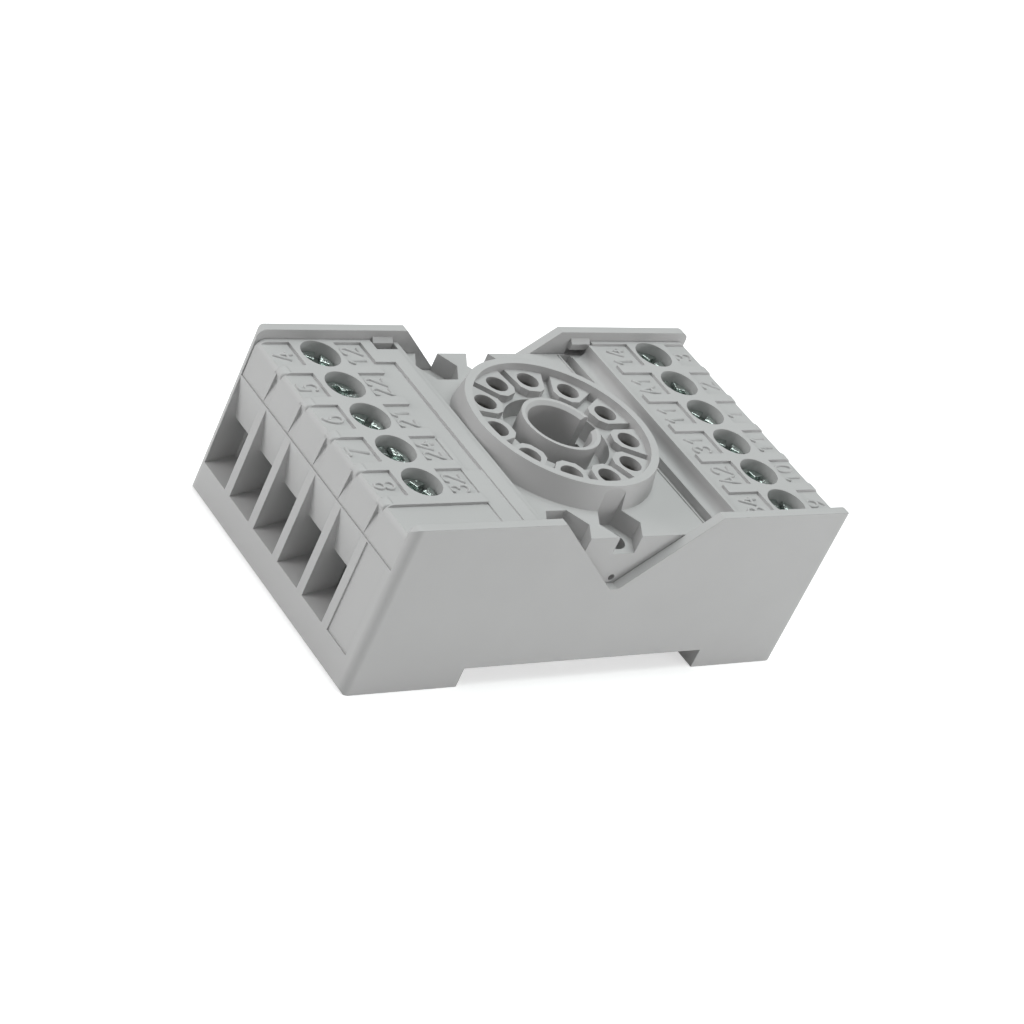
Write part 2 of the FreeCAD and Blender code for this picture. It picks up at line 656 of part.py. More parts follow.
def upper_housing():
    """The whole upper moulding."""
    core = box("core", (f"-{CHAMBER_INNER} + mould_clearance", f"{CHAMBER_INNER} - mould_clearance"),
               (f"-{CORE_FACE}", CORE_FACE), (CORE_BOTTOM, PLATFORM))
    length = (f"-({CORE_FACE} - groove_end_gap)", f"({CORE_FACE} - groove_end_gap)")
    groove = box("platform_groove", ("groove_edge", "groove_edge + groove_width"), length,
                 (f"{PLATFORM} - groove_depth", f"{PLATFORM} + {PAST}"))
    lips = box("groove_lips", ("groove_edge - groove_lip_width", "groove_edge + groove_width + groove_lip_width"),
               length, (f"{PLATFORM} - {NUDGE}", f"{PLATFORM} + groove_lip_rise"))
    ledge = box("left_ledge_step", ("-left_block_edge - left_ledge", f"-left_block_edge + {NUDGE}"),
                (f"-{CORE_FACE} - {PAST}", f"{CORE_FACE} + {PAST}"), (LABEL_FLOOR, f"{BLOCK_TOP} + {PAST}"))
    trench = rod("trench", "0", "0", "rim_inner", (TRENCH, f"{PLATFORM} + {PAST}"))
    platform = cut("platform", fused("platform_and_blocks", [
        core, lips, foot_cove(), screw_block(-1, "left_block_edge"), screw_block(1, "right_block_edge"),
    ]), [groove, ledge, trench])
    hub = rod("hub", "0", "0", HUB_OUTER, (f"{TRENCH} - {NUDGE}", HUB_TOP))
    lead_in = doc.addObject("Part::Cone", "hub_lead_in")
    tie(lead_in, {"Radius1": "hub_bore", "Radius2": f"hub_bore + hub_bevel + {NUDGE}"})
    tie(lead_in, {"Height": f"hub_bevel + {NUDGE}", "Placement.Base.z": f"{HUB_TOP} - hub_bevel"})
    blank = fused("upper_blank", [platform, contact_head(), hub])

    tools = [
        lead_in,
        rod("hub_bore_tool", "0", "0", "hub_bore", (f"{CORE_BOTTOM} - {PAST}", f"{HUB_TOP} + {PAST}")),
        box("keyway", ("0", f"({HUB_OUTER} + {NUDGE})"), ("-key_width / 2", "key_width / 2"),
            (f"{CORE_BOTTOM} - {PAST}", f"{HUB_TOP} + {PAST}")),
        label_tools(-1, "left_label_edge", ROWS - 2),
        label_tools(1, "right_label_edge", ROWS - 1),
        end_flutes(-1),
        end_flutes(1),
        *strip_tools(),
        box("right_label_margin", ("right_block_edge + right_lip", "right_label_edge"), block_rows(ROWS - 1),
            (LABEL_FLOOR, f"{BLOCK_TOP} + {PAST}")),
    ]
    for pin in range(1, PINS + 1):
        x, y = on_ray(pin, "pin_circle")
        tools.append(rod(f"sleeve_bore_{pin}", x, y, "clip_outer + clip_clearance",
                         (f"{CORE_BOTTOM} - {PAST}", ENTRY_SHOULDER)))
        tools.append(rod(f"pin_entry_{pin}", x, y, "entry_radius",
                         (f"{ENTRY_SHOULDER} - {PAST}", f"{TOWER_TOP} + {PAST}")))
    for side, row, pin in terminals():
        x, y = f"{side} * terminal_reach", row_y(row)
        tools.append(rod(f"well_{pin}", x, y, "well_radius", (LEDGE_TOP, f"{BLOCK_TOP} + {PAST}")))
        tools.append(rod(f"ledge_hole_{pin}", x, y, "shank_radius + shank_clearance",
                         (f"{PARTING} - {PAST}", f"{LEDGE_TOP} + {NUDGE}")))
        tools.append(box(f"cage_pocket_{pin}", side_span(side, CHAMBER_INNER, CHAMBER_OUTER),
                         (f"{y} - chamber_width / 2", f"{y} + chamber_width / 2"),
                         (f"{PARTING} - {PAST}", LEDGE_BOTTOM)))
    for y_side in (-1, 1):
        y = f"{y_side} * panel_hole_spacing / 2"
        name = "near" if y_side < 0 else "far"
        tools.append(rod(f"screw_hole_{name}", "0", y, "panel_hole_radius",
                         (f"{CORE_BOTTOM} - {PAST}", f"{NUT_FLOOR} + {NUDGE}")))
        for place, x in (("mid", "0"), ("left", "-nut_offset")):
            tools.append(nut_pocket(f"nut_pocket_{place}_{name}", x, y))
        tools.append(pivot_hole(y_side))
        tools += [snap_seat(x_side, y_side) for x_side in (-1, 1)]
    housing = cut("upper_housing", blank, tools)
    housing.Refine = True
    return housing


def nut_pocket(name, x, y):
    """A hexagonal pocket for a nut, open above, with two of its corners along X."""
    pocket = doc.addObject("Part::Prism", name)
    pocket.Polygon = 6
    tie(pocket, {"Circumradius": "nut_flats / sqrt(3)", "Height": f"{WALL_TOP} + {PAST} - {NUT_FLOOR}"})
    tie(pocket, {"Placement.Base.x": x, "Placement.Base.y": y, "Placement.Base.z": NUT_FLOOR})
    return pocket


def pivot_hole(y_side):
    """The small blind hole behind a V notch, where the retaining clip's end turns."""
    hole = doc.addObject("Part::Cylinder", f"pivot_hole_{'near' if y_side < 0 else 'far'}")
    hole.Placement = turned(FreeCAD.Vector(1, 0, 0), 90 * y_side)
    tie(hole, {"Radius": "pivot_hole_radius", "Height": f"pivot_hole_depth + {PAST}"})
    tie(hole, {"Placement.Base.y": f"{y_side} * ({CORE_FACE} + {PAST})", "Placement.Base.z": "pivot_hole_level"})
    return hole


def snap_seat(x_side, y_side):
    """The gap in a block's edge that leaves room for a snap nose. The far left one is deeper."""
    depth = "snap_seat_depth_far_left" if x_side < 0 < y_side else "snap_seat_depth"
    y_low, y_high = f"({CORE_FACE} - {depth})", f"({CORE_FACE} + {PAST})"
    x_span = side_span(x_side, "(snap_reach - snap_width / 2 - snap_seat_gap)",
                       "(snap_reach + snap_width / 2 + snap_seat_gap)")
    return box(f"snap_seat_{corner_name(x_side, y_side)}", x_span, side_span(y_side, y_low, y_high),
               (PLATFORM, f"{BLOCK_TOP} + {PAST}"))


# The metal of a terminal: screw, cage, bar and contact sleeve

def terminal_screw(side, row, pin):
    """A combination head screw. It turns in its ledge and lifts its cage."""
    body = doc.addObject("PartDesign::Body", f"terminal_screw_{pin}")
    tip = f"({BAR_TOP} + tip_gap)"
    grow(body, "Revolution", outline(body, f"screw_section_{pin}", "XZ_Plane", [
        ("0", tip),
        ("shank_radius", tip),
        ("shank_radius", HEAD_UNDERSIDE),
        ("head_radius", HEAD_UNDERSIDE),
        ("head_radius", f"{HEAD_TOP} - head_bevel"),
        ("head_radius - head_bevel", HEAD_TOP),
        ("0", HEAD_TOP),
    ]))
    for name, half_length, half_width in (("slot", "(head_radius + head_bevel)", "slot_width / 2"),
                                          ("cross", "cross_width / 2", "cross_length / 2")):
        corners = [(f"{x}{half_length}", f"{y}{half_width}") for x, y in (("-", "-"), ("", "-"), ("", ""), ("-", ""))]
        grow(body, "Pocket", outline(body, f"{name}_{pin}", "XY_Plane", corners, HEAD_TOP), "slot_depth")
    body.Placement = turned(UPRIGHT, HEAD_TURN_STEP * pin % 90)
    tie(body, {"Placement.Base.x": f"{side} * terminal_reach", "Placement.Base.y": row_y(row)})
    return body


def clamp_cage(side, row, pin):
    """A cage folded round the bar and the wire, with the screw's thread in its top plate."""
    body = doc.addObject("PartDesign::Body", f"clamp_cage_{pin}")
    wide, narrow = CAGE_HALF_WIDTH, f"({CAGE_HALF_WIDTH} - cage_wall)"
    floor = f"({CAGE_BOTTOM} + cage_base_sheet)"
    shell = outline(body, f"cage_outline_{pin}", "YZ_Plane",
                    [(f"-{wide}", CAGE_BOTTOM), (wide, CAGE_BOTTOM), (wide, CAGE_TOP), (f"-{wide}", CAGE_TOP)])
    grow(body, "Pad", shell, "cage_length", "Symmetric")
    window = outline(body, f"cage_window_{pin}", "YZ_Plane",
                     [(f"-{narrow}", floor), (narrow, floor), (narrow, CAGE_PLATE), (f"-{narrow}", CAGE_PLATE)])
    grow(body, "Pocket", window, f"cage_length + {PAST}", "Symmetric")
    grow(body, "Pocket", circle(body, f"cage_thread_{pin}", "shank_radius + thread_clearance", CAGE_TOP),
         f"cage_top_sheet + {NUDGE}")
    tie(body, {"Placement.Base.x": f"{side} * terminal_reach", "Placement.Base.y": row_y(row)})
    return body


def strap(name, start, end, width):
    """A flat strip of the bar's sheet between two points of the deck."""
    run_x, run_y = f"(({end[0]}) - ({start[0]}))", f"(({end[1]}) - ({start[1]}))"
    run = f"sqrt({run_x} ^ 2 + {run_y} ^ 2)"
    strip = doc.addObject("Part::Box", name)
    strip.Placement = turned(UPRIGHT, 1)
    tie(strip, {"Length": run, "Width": width, "Height": "bar_sheet"})
    tie(strip, {"Placement.Rotation.Angle": f"atan2({run_y}; {run_x})"})
    tie(strip, {"Placement.Base.x": f"({start[0]}) + ({width}) / 2 * {run_y} / {run}",
                "Placement.Base.y": f"({start[1]}) - ({width}) / 2 * {run_x} / {run}",
                "Placement.Base.z": "deck_level"})
    return strip


def terminal_bar(side, row, pin):
    """The bar from a cage to its pin: a wide tongue, a strap to a knee on the ray, and a round eye."""
    y = row_y(row)
    tongue_half = f"({CAGE_HALF_WIDTH} - cage_wall - bar_play)"
    bend = (f"({side} * bar_tongue_end)", y)
    knee = on_ray(pin, "bar_knee_radius")
    eye = on_ray(pin, "pin_circle")
    level = ("deck_level", BAR_TOP)
    pieces = [
        box(f"bar_tongue_{pin}", side_span(side, "bar_tongue_end", f"({CHAMBER_OUTER} - bar_end_gap)"),
            (f"{y} - {tongue_half}", f"{y} + {tongue_half}"), level),
        rod(f"bar_bend_{pin}", bend[0], bend[1], tongue_half, level),
        strap(f"bar_strap_{pin}", bend, knee, "bar_strap_width"),
        rod(f"bar_knee_{pin}", knee[0], knee[1], "bar_strap_width / 2", level),
        strap(f"bar_ray_{pin}", knee, eye, "bar_strap_width"),
        rod(f"bar_eye_{pin}", eye[0], eye[1], "bar_eye_radius", level),
    ]
    bar = fused(f"terminal_bar_{pin}", pieces)
    bar.Refine = True
    return bar


def pin_clip(pin):
    """A sleeve that grips one round pin. A slit from the top lets it spring open."""
    body = doc.addObject("PartDesign::Body", f"pin_clip_{pin}")
    bore = "(clip_outer - clip_wall)"
    top = f"({ENTRY_SHOULDER} - clip_top_gap)"
    grow(body, "Revolution", outline(body, f"sleeve_section_{pin}", "XZ_Plane", [
        (bore, BAR_TOP),
        ("clip_outer", BAR_TOP),
        ("clip_outer", top),
        (bore, top),
    ]))
    slit = outline(body, f"sleeve_slit_{pin}", "XY_Plane", [
        ("0", "-clip_slit / 2"),
        ("2 * clip_outer", "-clip_slit / 2"),
        ("2 * clip_outer", "clip_slit / 2"),
        ("0", "clip_slit / 2"),
    ], top)
    grow(body, "Pocket", slit, f"{top} - {BAR_TOP} - clip_root")
    body.Placement = turned(UPRIGHT, 1)
    x, y = on_ray(pin, "pin_circle")
    tie(body, {"Placement.Base.x": x, "Placement.Base.y": y, "Placement.Rotation.Angle": pin_turn(pin)})
    return body


# The rail latch: a flat slider in the right foot whose nose goes under the rail's edge

def rail_latch():
    """The slider, with a window round the housing's stop peg."""
    body = doc.addObject("PartDesign::Body", "rail_latch")
    bottom = "(latch_floor + latch_play)"
    end = f"({END_FACE} - latch_end_gap)"
    nose = "(rail_slot_right - latch_nose_reach)"
    neck = "(rail_slot_right - latch_play)"
    profile = outline(body, "latch_profile", "XZ_Plane", [
        (nose, bottom),
        (end, bottom),
        (end, f"{bottom} + latch_sheet"),
        (neck, f"{bottom} + latch_sheet"),
        (f"{neck} - (latch_sheet - latch_nose_sheet)", f"{bottom} + latch_nose_sheet"),
        (nose, f"{bottom} + latch_nose_sheet"),
    ])
    grow(body, "Pad", profile, "latch_width", "Symmetric")
    half = "(stop_radius + stop_play)"
    window = outline(body, "latch_window", "XY_Plane", [
        (f"{STOP_AXIS} - latch_travel - {half}", f"-{half}"),
        (f"{STOP_AXIS} + {half}", f"-{half}"),
        (f"{STOP_AXIS} + {half}", half),
        (f"{STOP_AXIS} - latch_travel - {half}", half),
    ], f"{bottom} + latch_sheet + {PAST}")
    grow(body, "Pocket", window, f"latch_sheet + {2 * PAST}")
    return body


pieces = [base_housing(), upper_housing(), rail_latch()]
for side, row, pin in terminals():
    pieces += [terminal_screw(side, row, pin), clamp_cage(side, row, pin)]
    pieces += [terminal_bar(side, row, pin), pin_clip(pin)]
doc.recompute()

for thing in doc.Objects:
    if {"Invalid", "Error"} & set(thing.State):
        raise RuntimeError(f"{thing.Name} didn't compute: {thing.State}")
os.makedirs("parts", exist_ok=True)
for piece in pieces:
    piece.Label = piece.Name
    if piece.Shape.isNull() or not piece.Shape.isValid():
        raise RuntimeError(f"{piece.Label} has no valid shape")
    piece.Shape.exportStep(f"parts/{piece.Label}.step")
    print(piece.Label, len(piece.Shape.Solids), round(piece.Shape.Volume, 3))
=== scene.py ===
import math

import bmesh
import bpy
import numpy as np
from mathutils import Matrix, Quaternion, Vector


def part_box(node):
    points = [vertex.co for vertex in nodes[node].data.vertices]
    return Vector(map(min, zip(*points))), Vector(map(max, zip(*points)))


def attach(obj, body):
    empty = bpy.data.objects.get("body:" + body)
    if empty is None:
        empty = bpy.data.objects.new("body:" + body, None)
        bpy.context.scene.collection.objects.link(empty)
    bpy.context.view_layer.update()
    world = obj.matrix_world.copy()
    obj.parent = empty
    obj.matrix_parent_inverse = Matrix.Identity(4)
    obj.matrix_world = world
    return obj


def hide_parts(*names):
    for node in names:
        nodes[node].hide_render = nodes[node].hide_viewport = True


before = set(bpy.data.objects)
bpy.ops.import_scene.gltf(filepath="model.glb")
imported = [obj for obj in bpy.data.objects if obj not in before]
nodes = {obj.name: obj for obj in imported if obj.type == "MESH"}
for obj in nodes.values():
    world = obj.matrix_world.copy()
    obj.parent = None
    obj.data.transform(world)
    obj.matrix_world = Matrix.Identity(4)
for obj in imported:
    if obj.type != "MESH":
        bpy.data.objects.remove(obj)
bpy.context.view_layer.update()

# The two mouldings: the tub with the wire entries, and above it the screw blocks with the round contact
# head. They are injection moulded in light grey glass filled polycarbonate and snap together at the
# parting line. Sharp tool edges leave a radius of about a tenth of a millimetre.

cloud_size = 0.008
crater_size = 0.00025
crater_depth = 0.00002
roughness_swing = 0.06
plastic_ior = 1.585
mould_edge = 0.0001


def linear(colour):
    """An sRGB hex colour as linear light, with full cover."""
    parts = np.array([int(colour[place:place + 2], 16) for place in (1, 3, 5)]) / 255
    curve = np.where(parts <= 0.04045, parts / 12.92, ((parts + 0.055) / 1.055) ** 2.4)
    return (*curve.tolist(), 1.0)


def add(tree, kind, settings=(), links=()):
    """Adds a node to a tree. Settings name its properties or sockets, and links its sockets' sources."""
    node = tree.nodes.new(kind)
    for name, value in dict(settings).items():
        if hasattr(node, str(name)):
            setattr(node, name, value)
        else:
            node.inputs[name].default_value = value
    for name, source in dict(links).items():
        tree.links.new(source, node.inputs[name])
    return node


def empty_material(name):
    """A node material with an empty tree, and that tree."""
    material = bpy.data.materials.new(name)
    material.use_nodes = True
    material.node_tree.nodes.clear()
    return material, material.node_tree


def two_tones(tree, mask, first, second):
    """Mixes two hex colours by a mask from 0 to 1."""
    tone = add(tree, "ShaderNodeMix", {"data_type": "RGBA"}, {"Factor": mask})
    tone.inputs[6].default_value = linear(first)
    tone.inputs[7].default_value = linear(second)
    return tone.outputs[2]


def spark_eroded_plastic(name, base, cloud, roughness, edge_radius):
    """Moulded plastic from a spark eroded tool.

    The tool's skin is a fine noise of 0.25 mm craters, which blurs every highlight. The melt leaves faint
    clouds about 8 mm wide, and the roughness wanders a little with the skin.
    """
    material, tree = empty_material(name)
    where = {"Vector": add(tree, "ShaderNodeTexCoord").outputs["Object"]}
    flow = add(tree, "ShaderNodeTexNoise", {"Scale": 1 / cloud_size, "Detail": 2.0, "Roughness": 0.45}, where)
    skin = add(tree, "ShaderNodeTexNoise", {"Scale": 1 / crater_size, "Detail": 3.0, "Roughness": 0.6}, where)
    edge = add(tree, "ShaderNodeBevel", {"samples": 6, "Radius": edge_radius})
    bump = add(tree, "ShaderNodeBump", {"Strength": 0.2, "Distance": crater_depth},
               {"Height": skin.outputs["Fac"], "Normal": edge.outputs["Normal"]})
    rough = add(tree, "ShaderNodeMapRange",
                {"To Min": roughness - roughness_swing, "To Max": roughness + roughness_swing},
                {"Value": skin.outputs["Fac"]})
    shader = add(tree, "ShaderNodeBsdfPrincipled", {"IOR": plastic_ior},
                 {"Base Color": two_tones(tree, flow.outputs["Fac"], base, cloud),
                  "Roughness": rough.outputs[0], "Normal": bump.outputs["Normal"]})
    add(tree, "ShaderNodeOutputMaterial", links={"Surface": shader.outputs["BSDF"]})
    return material


def give(thing, material):
    """Puts one material on a whole object."""
    thing.data.materials.clear()
    thing.data.materials.append(material)


housing_plastic = spark_eroded_plastic("polycarbonate_spark_eroded", "#b7b6b6", "#bdbcbc", 0.52, mould_edge)
give(nodes["base_housing"], housing_plastic)
give(nodes["upper_housing"], housing_plastic)

# The terminal numbers. They stand about a quarter of a millimetre proud on the label fields, engraved in the
# mould as one round-nosed cutter stroke each, so they are part of the upper moulding.

figure_height = 0.0027
figure_width = 0.00145
stroke_width = 0.00034
stroke_rise = 0.00026
stroke_flatness = 0.45
end_run = 0.5
end_share = 0.6
figure_gap = 0.00045
label_floor = 0.02225


def arc(x, y, across, up, start, end, count=13):
    """Points on an ellipse about (x, y): x + across cos t, y + up sin t, with t from start to end degrees."""
    turn = np.radians(np.linspace(start, end, count))
    return np.stack([x + across * np.cos(turn), y + up * np.sin(turn)], 1)


figures = {
    "0": [arc(0.5, 0.5, 0.45, 0.5, 90, 450, 25)],
    "1": [np.array([(0.12, 0.72), (0.55, 1.0), (0.55, 0.0)])],
    "2": [np.vstack([arc(0.5, 0.72, 0.43, 0.28, 170, -20), [(0.05, 0.0)], [(0.95, 0.0)]])],
    "3": [arc(0.48, 0.76, 0.38, 0.24, 160, -90), arc(0.48, 0.26, 0.44, 0.26, 90, -160)],
    "4": [np.array([(0.66, 1.0), (0.04, 0.3), (0.98, 0.3)]), np.array([(0.7, 0.58), (0.7, 0.0)])],
    "5": [np.vstack([[(0.9, 1.0)], [(0.2, 1.0)], [(0.13, 0.55)], arc(0.47, 0.33, 0.45, 0.33, 110, -150)])],
    "6": [arc(0.5, 0.31, 0.42, 0.31, 180, 540, 21), arc(0.83, 0.3, 0.75, 0.7, 100, 178)],
    "7": [np.array([(0.05, 1.0), (0.95, 1.0), (0.36, 0.0)])],
    "8": [arc(0.5, 0.76, 0.36, 0.24, -90, 270, 21), arc(0.5, 0.26, 0.44, 0.26, 90, 450, 21)],
    "9": [arc(0.5, 0.69, 0.42, 0.31, 0, 360, 21), arc(0.17, 0.7, 0.75, 0.7, -80, -2)],
    "A": [np.array([(0.0, 0.0), (0.5, 1.0), (1.0, 0.0)]), np.array([(0.18, 0.34), (0.82, 0.34)])],
}


def ridge(path, width, rise, floor):
    """A round-topped ridge along a path in the plane, closed under the floor.

    Each ring is a flattened arch across the path: offset w/2 cos t and height rise sin^flatness t, for t
    from 0 to 180 degrees, and two points below the floor. The first and last rings shrink to the end share.
    At a corner a ring is stretched to keep the stroke's width, to twice at most.
    """
    path = np.asarray(path, float)
    runs = np.diff(path, axis=0)
    runs /= np.linalg.norm(runs, axis=1)[:, None]
    along = np.vstack([runs[:1], runs[:-1] + runs[1:], runs[-1:]])
    stretch = 1 / np.maximum(np.linalg.norm(along, axis=1)[1:-1] / 2, 0.5)
    along /= np.linalg.norm(along, axis=1)[:, None]
    side = np.stack([-along[:, 1], along[:, 0]], 1)
    side[1:-1] *= stretch[:, None]
    reach = width / 2
    run_out = end_run * reach
    centres = np.vstack([path[0] - run_out * along[0], path, path[-1] + run_out * along[-1]])
    side = np.vstack([end_share * side[:1], side, end_share * side[-1:]])
    lift = np.concatenate([[end_share], np.ones(len(path)), [end_share]])
    turn = np.radians(np.linspace(0, 180, 7))
    offset = np.concatenate([reach * np.cos(turn), [-reach, reach]])
    height = np.concatenate([rise * np.sin(turn) ** stroke_flatness, [-rise, -rise]])
    places = centres[:, None, :] + offset[None, :, None] * side[:, None, :]
    levels = floor + np.where(height > 0, height[None, :] * lift[:, None], height[None, :])
    return np.concatenate([places, levels[:, :, None]], 2)


def skin_of(rings):
    """The faces between rings of points, closed round each ring, and across both ends with one face."""
    count, size = rings.shape[:2]
    around = np.arange(size)
    starts = np.arange(count - 1)[:, None] * size
    first = starts + around
    second = starts + (around + 1) % size
    quads = np.stack([first, second, second + size, first + size], -1).reshape(-1, 4).tolist()
    ends = [around[::-1].tolist(), ((count - 1) * size + around).tolist()]
    return rings.reshape(-1, 3), quads + ends


def joined(name, parts, material):
    """One object from several vertex and face lists, with its faces turned outwards."""
    places, faces, start = [], [], 0
    for points, polygons in parts:
        places.append(points)
        faces += [[start + corner for corner in polygon] for polygon in polygons]
        start += len(points)
    mesh = bpy.data.meshes.new(name)
    mesh.from_pydata(np.concatenate(places).tolist(), [], faces)
    shape = bmesh.new()
    shape.from_mesh(mesh)
    bmesh.ops.recalc_face_normals(shape, faces=shape.faces)
    shape.to_mesh(mesh)
    shape.free()
    mesh.polygons.foreach_set("use_smooth", np.ones(len(mesh.polygons), bool))
    mesh.materials.append(material)
    thing = bpy.data.objects.new(name, mesh)
    bpy.context.scene.collection.objects.link(thing)
    return thing


def number_on_field(text, x, y):
    """The ridges of one terminal number about a field's middle. It is read along +Y, with its top at -X."""
    ridges = []
    pitch = figure_width + figure_gap
    for place, figure in enumerate(text):
        near = y + (place - len(text) / 2) * pitch + figure_gap / 2
        for stroke in figures[figure]:
            path = np.stack([x + (0.5 - stroke[:, 1]) * figure_height, near + stroke[:, 0] * figure_width], 1)
            ridges.append(skin_of(ridge(path, stroke_width, stroke_rise, label_floor)))
    return ridges


row_pitch = 0.00605
far_row = 2.5 * row_pitch
row_shift = -0.0002
columns = {
    -0.0315: ("4", "5", "6", "7", "8"),
    -0.02145: ("12", "22", "21", "24", "32"),
    0.02045: ("14", "A1", "11", "31", "A2", "34"),
    0.0311: ("3", "2", "1", "11", "10", "9"),
}
strokes = []
for column, texts in columns.items():
    for row, text in enumerate(texts):
        strokes += number_on_field(text, column, far_row - row * row_pitch + row_shift)
numbers = joined("terminal_numbers", strokes, housing_plastic)
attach(numbers, "housing")

# The ends of the ribs between the label fields. Each rib runs out over the rounded edge of its block with a
# tighter turn than the edge has, so the block's outline shows a small tooth at each rib. Its sides lie a hair
# inside those of the rib.

rib_width = 0.00148
rib_fade = 0.25
block_edge_radius = 0.00116
block_edge_centre = np.array([0.0324, 0.0214])
crown_centre = np.array([0.0324, 0.0219])
crown_reach = np.array([0.0013, 0.000705])
crown_power = 0.95
rib_depth = 0.0003


def rib_end(side, middle):
    """A rib's end, in rings across the rib.

    At turn a from 90 to 0 degrees the block's edge lies at (x, z) = edge centre + edge radius (cos a, sin a)
    and the rib's at crown centre + crown reach (cos^p a, sin^p a). Each ring lies between the two, by a bump
    that rises from 0 at the rib's sides to 1 over a quarter of its half width, and closes at the rib's depth.
    """
    turn = np.radians(np.linspace(90, 0, 9))
    wave = np.stack([np.cos(turn).clip(0), np.sin(turn)], 1)
    edge = block_edge_centre + block_edge_radius * wave
    crown = crown_centre + crown_reach * wave ** crown_power
    across = np.linspace(-1, 1, 11)
    bump = ((1 - np.abs(across)) / rib_fade).clip(0, 1)
    bump = bump ** 2 * (3 - 2 * bump)
    outer = edge + bump[:, None, None] * (crown - edge)
    inner = np.broadcast_to((edge - rib_depth * wave)[::-1], outer.shape)
    ring = np.concatenate([outer, inner], 1)
    level = np.broadcast_to(middle + across[:, None] * rib_width / 2, ring.shape[:2])
    return np.stack([side * ring[:, :, 0], level, ring[:, :, 1]], 2)


ribs = [skin_of(rib_end(side, place * row_pitch)) for side in (-1, 1) for place in range(-2, 3)]
rib_ends = joined("label_rib_ends", ribs, housing_plastic)
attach(rib_ends, "housing")

# The rail latch: a flat slider of unfilled polyamide in the right foot. It is darker and a little waxier
# than the housing, and its edges are worn round where it runs in the channel.

worn_edge = 0.0002
latch_plastic = spark_eroded_plastic("polyamide_moulded_slider", "#8f9492", "#969b99", 0.42, worn_edge)
give(nodes["rail_latch"], latch_plastic)

# The terminal screws: cold headed steel with a combination slot and a rolled M3 thread, tumbled in a zinc
# bath and blue passivated. The tumbling leaves small dents, so the head glints in spots. The heads stand
# about a millimetre taller than the bare solids, to 1.2 mm under the block's top, where the light finds them.

dent_size = 0.00035
bloom_size = 0.0012


def plated_metal(name, bright, dull, roughness, dent):
    """Plated metal. Dents a third of a millimetre wide break up the reflection, and a bloom dulls it."""
    material, tree = empty_material(name)
    where = {"Vector": add(tree, "ShaderNodeTexCoord").outputs["Object"]}
    dents = add(tree, "ShaderNodeTexNoise", {"Scale": 1 / dent_size, "Detail": 2.0}, where)
    bloom = add(tree, "ShaderNodeTexNoise", {"Scale": 1 / bloom_size, "Detail": 3.0}, where)
    bump = add(tree, "ShaderNodeBump", {"Strength": 1.0, "Distance": dent}, {"Height": dents.outputs["Fac"]})
    rough = add(tree, "ShaderNodeMapRange", {"To Min": roughness - 0.08, "To Max": roughness + 0.1},
                {"Value": bloom.outputs["Fac"]})
    shader = add(tree, "ShaderNodeBsdfPrincipled", {"Metallic": 1.0},
                 {"Base Color": two_tones(tree, bloom.outputs["Fac"], bright, dull),
                  "Roughness": rough.outputs[0], "Normal": bump.outputs["Normal"]})
    add(tree, "ShaderNodeOutputMaterial", links={"Surface": shader.outputs["BSDF"]})
    return material


screw_zinc = plated_metal("steel_zinc_blue_passivated", "#dde4e1", "#a3b0ab", 0.17, 0.00009)
head_height = 0.0015
head_rise = 0.0009
slot_floor = 0.0003
head_break = 0.00014
shank_overlap = 0.0001
slack = 0.00001
weld_distance = 0.000001
screw_outer = 0.00145
thread_pitch = 0.0005
thread_depth = 0.0003
thread_steps = 28
rings_per_pitch = 8
point_depth = 0.8


def merged_copy(node, name, above=None):
    """A new object from a node's mesh, or from its part above a height, with its loose triangles merged."""
    shape = bmesh.new()
    shape.from_mesh(node.data)
    bmesh.ops.remove_doubles(shape, verts=shape.verts, dist=weld_distance)
    if above is not None:
        lower = [corner for corner in shape.verts if corner.co.z <= above]
        bmesh.ops.delete(shape, geom=lower, context="VERTS")
    bmesh.ops.dissolve_limit(shape, angle_limit=math.radians(1), verts=shape.verts, edges=shape.edges)
    mesh = bpy.data.meshes.new(name)
    shape.to_mesh(mesh)
    shape.free()
    thing = bpy.data.objects.new(name, mesh)
    bpy.context.scene.collection.objects.link(thing)
    return thing


def broken_edges(thing, width):
    """Rounds every edge of a piece that turns by more than 30 degrees, in two steps."""
    bevel = thing.modifiers.new("broken_edges", "BEVEL")
    bevel.width = width
    bevel.segments = 2
    bevel.limit_method = "ANGLE"
    bevel.angle_limit = math.radians(30)
    bevel.harden_normals = True
    thing.data.polygons.foreach_set("use_smooth", np.ones(len(thing.data.polygons), bool))


def rolled_thread(x, y, tip, shoulder):
    """A threaded shank: at turn t and height z, radius = outer - depth (1 + cos(2 pi z / pitch - t)) / 2.

    The helix fades out over the last pitch below the shoulder and over the first above the tip, where the
    radius falls to a dog point.
    """
    heights = np.linspace(tip, shoulder, int((shoulder - tip) / thread_pitch * rings_per_pitch) + 1)
    turns = np.linspace(0, 2 * np.pi, thread_steps, endpoint=False)
    z, t = np.meshgrid(heights, turns, indexing="ij")
    wave = (1 + np.cos(2 * np.pi * z / thread_pitch - t)) / 2
    above_tip = np.clip((z - tip) / thread_pitch, 0, 1)
    fade = np.clip((shoulder - z) / thread_pitch, 0, 1) * above_tip
    radius = screw_outer - thread_depth * (wave * fade + point_depth * (1 - above_tip) * (1 - fade))
    return np.stack([x + radius * np.cos(t), y + radius * np.sin(t), z], 2)


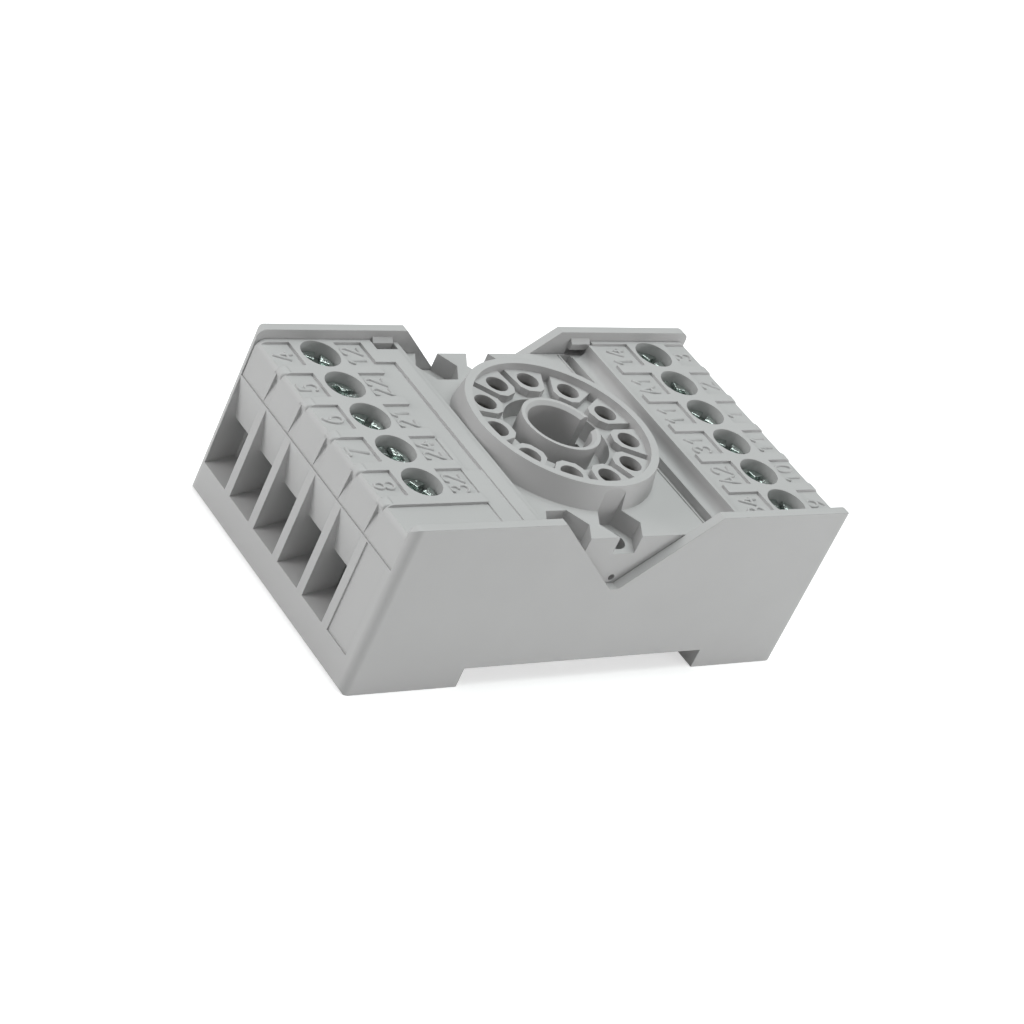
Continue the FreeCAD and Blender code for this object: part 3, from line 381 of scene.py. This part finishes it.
for pin in range(1, 12):
    node = nodes[f"terminal_screw_{pin}"]
    low, high = (Vector(corner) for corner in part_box(f"terminal_screw_{pin}"))
    middle = (low + high) / 2
    shoulder = high.z - head_height
    head = merged_copy(node, f"screw_head_{pin}", above=shoulder - slack)
    places = np.empty(3 * len(head.data.vertices))
    head.data.vertices.foreach_get("co", places)
    places[2::3] += np.where(places[2::3] > shoulder + slot_floor, head_rise, 0)
    head.data.vertices.foreach_set("co", places)
    give(head, screw_zinc)
    broken_edges(head, head_break)
    thread = rolled_thread(middle.x, middle.y, low.z, shoulder + shank_overlap)
    shank = joined(f"screw_thread_{pin}", [skin_of(thread)], screw_zinc)
    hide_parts(f"terminal_screw_{pin}")
    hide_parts(f"terminal_screw_{pin}")
    for piece in (head, shank):
        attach(piece, f"screw_{pin}")

# The clamp cages: strip steel folded round the bar and the wire, galvanised before it was stamped. The
# press leaves rounded edges outside and a dull, streaky zinc.

fold_radius = 0.00018
cage_zinc = plated_metal("steel_strip_galvanised", "#a2a8a7", "#868d8c", 0.38, 0.00001)
for pin in range(1, 12):
    cage = merged_copy(nodes[f"clamp_cage_{pin}"], f"folded_cage_{pin}")
    give(cage, cage_zinc)
    broken_edges(cage, fold_radius)
    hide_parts(f"clamp_cage_{pin}")
    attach(cage, f"cage_{pin}")

# The bars and the contact sleeves under the pin holes: stamped and rolled brass under a matt nickel plate,
# which hides the brass. The sleeves are seen only as a grey gleam at the bottom of the holes.

contact_nickel = plated_metal("brass_nickel_plated_matt", "#a9a79f", "#918f87", 0.4, 0.000008)
for name, node in nodes.items():
    if name.startswith(("terminal_bar", "pin_clip")):
        give(node, contact_nickel)

# The stage: white paper under the socket, a white room, and two soft boxes left and right of the camera
# with a third above. A corner that faces the camera gets the least light, as in a small photo tent. The
# paper glows a little, so the shadow stays faint, and the room is white to the camera but dim as a light.

paper_reach = 0.8
paper_mesh = bpy.data.meshes.new("paper_floor")
paper_mesh.from_pydata([(-paper_reach, -paper_reach, 0), (paper_reach, -paper_reach, 0),
                        (paper_reach, paper_reach, 0), (-paper_reach, paper_reach, 0)], [], [(0, 1, 2, 3)])
paper_floor = bpy.data.objects.new("paper_floor", paper_mesh)
bpy.context.scene.collection.objects.link(paper_floor)
paper, tree = empty_material("paper_white")
ray = add(tree, "ShaderNodeLightPath")
seen = add(tree, "ShaderNodeMath", {"operation": "MAXIMUM"},
           {0: ray.outputs["Is Camera Ray"], 1: ray.outputs["Is Glossy Ray"]})
matt = add(tree, "ShaderNodeBsdfDiffuse", {"Color": linear("#e7e7e7")})
glow = add(tree, "ShaderNodeEmission", {"Color": (1, 1, 1, 1), "Strength": 0.55})
lit = add(tree, "ShaderNodeAddShader", links={0: matt.outputs[0], 1: glow.outputs[0]})
mixed = add(tree, "ShaderNodeMixShader", links={0: seen.outputs[0], 1: matt.outputs[0], 2: lit.outputs[0]})
add(tree, "ShaderNodeOutputMaterial", links={"Surface": mixed.outputs[0]})
paper_mesh.materials.append(paper)

room = bpy.data.worlds.new("white_room")
bpy.context.scene.world = room
room.use_nodes = True
tree = room.node_tree
tree.nodes.clear()
by_camera = add(tree, "ShaderNodeLightPath").outputs["Is Camera Ray"]
level = add(tree, "ShaderNodeMapRange", {"To Min": 0.27, "To Max": 1.0}, {"Value": by_camera})
walls = add(tree, "ShaderNodeBackground", {"Color": (1, 1, 1, 1)}, {"Strength": level.outputs[0]})
add(tree, "ShaderNodeOutputWorld", links={"Surface": walls.outputs[0]})

socket_middle = Vector((0, 0, 0.012))


def soft_box(name, place, size, power, tint="#ffffff"):
    """A square lamp that points at the socket. Place and size are in metres, and power is in watts."""
    light = bpy.data.lights.new(name, "AREA")
    light.size = size
    light.energy = power
    light.color = linear(tint)[:3]
    thing = bpy.data.objects.new(name, light)
    bpy.context.scene.collection.objects.link(thing)
    thing.location = place
    thing.rotation_euler = (socket_middle - Vector(place)).to_track_quat("-Z", "Y").to_euler()


soft_box("soft_box_above", (0.12, 0.06, 0.8), 0.6, 4.8, "#f7fffd")
soft_box("soft_box_left", (-0.72, 0.36, 0.27), 0.4, 2.7)
soft_box("soft_box_right", (0.37, -0.38, 0.07), 0.2, 1.06)

# The camera looks down on the socket's near left corner with a long lens, and is rolled about its axis, so
# that the long side walls run down to the right.

eye = Vector((-0.23499, -0.21861, 0.19455))
aim = Vector((-0.001244, -0.000225, 0.010156))
roll = math.radians(25.902)
lens = bpy.data.cameras.new("camera")
camera = bpy.data.objects.new("camera", lens)
bpy.context.scene.collection.objects.link(camera)
camera.location = eye
level_view = (aim - eye).to_track_quat("-Z", "Y")
camera.rotation_euler = (level_view @ Quaternion((0, 0, 1), roll)).to_euler()
lens.sensor_width = 36
lens.lens = 107.01
lens.clip_start = 0.01
bpy.context.scene.camera = camera
bpy.context.scene.view_settings.view_transform = "Standard"
